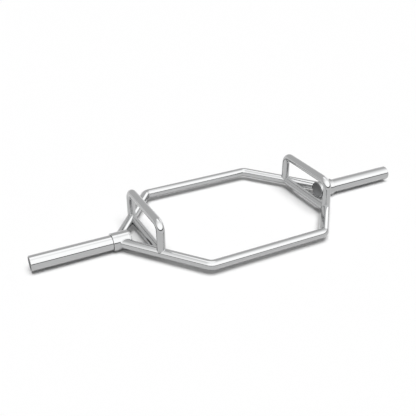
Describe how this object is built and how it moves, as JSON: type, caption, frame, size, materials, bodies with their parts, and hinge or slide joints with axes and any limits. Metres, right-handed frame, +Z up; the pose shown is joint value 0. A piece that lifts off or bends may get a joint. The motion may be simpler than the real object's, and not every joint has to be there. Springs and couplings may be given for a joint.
{
  "type": "hex trap bar",
  "caption": "Hexagonal trap bar of bent chromed tube that a lifter stands inside, with low and raised side grips and turning plate sleeves at both ends.",
  "frame": {"origin": "on the floor under the middle of the bar", "axes": "+X along the sleeves to the right, +Y to the rear, +Z up"},
  "size_m": [1.365, 0.55, 0.1425],
  "materials": {
    "polished_chrome": "bright polished chrome plate",
    "bright_steel": "ground steel, lightly oiled",
    "bushing_bronze": "sintered bronze",
    "dark_nylon": "dark moulded nylon"
  },
  "bodies": {
    "frame": {"front_hex_tube": "polished_chrome", "rear_hex_tube": "polished_chrome", "left_high_handle": "polished_chrome", "left_low_handle": "polished_chrome", "left_hub_cap": "polished_chrome", "left_hub": "polished_chrome", "left_spindle": "bright_steel", "left_thrust_washer": "dark_nylon", "left_retaining_washer": "bright_steel", "left_retaining_bolt": "bright_steel", "right_high_handle": "polished_chrome", "right_low_handle": "polished_chrome", "right_hub_cap": "polished_chrome", "right_hub": "polished_chrome", "right_spindle": "bright_steel", "right_thrust_washer": "dark_nylon", "right_retaining_washer": "bright_steel", "right_retaining_bolt": "bright_steel"},
    "left_sleeve_assembly": {"left_sleeve": "polished_chrome", "left_inner_bushing": "bushing_bronze", "left_outer_bushing": "bushing_bronze", "left_end_cap": "polished_chrome"},
    "right_sleeve_assembly": {"right_sleeve": "polished_chrome", "right_inner_bushing": "bushing_bronze", "right_outer_bushing": "bushing_bronze", "right_end_cap": "polished_chrome"}
  },
  "joints": [
    {"name": "left_sleeve_spin", "type": "hinge", "parent": "frame", "child": "left_sleeve_assembly", "pos_m": [-0.555, 0, 0.03], "axis": [1, 0, 0], "continuous": true},
    {"name": "right_sleeve_spin", "type": "hinge", "parent": "frame", "child": "right_sleeve_assembly", "pos_m": [0.555, 0, 0.03], "axis": [1, 0, 0], "continuous": true}
  ]
}
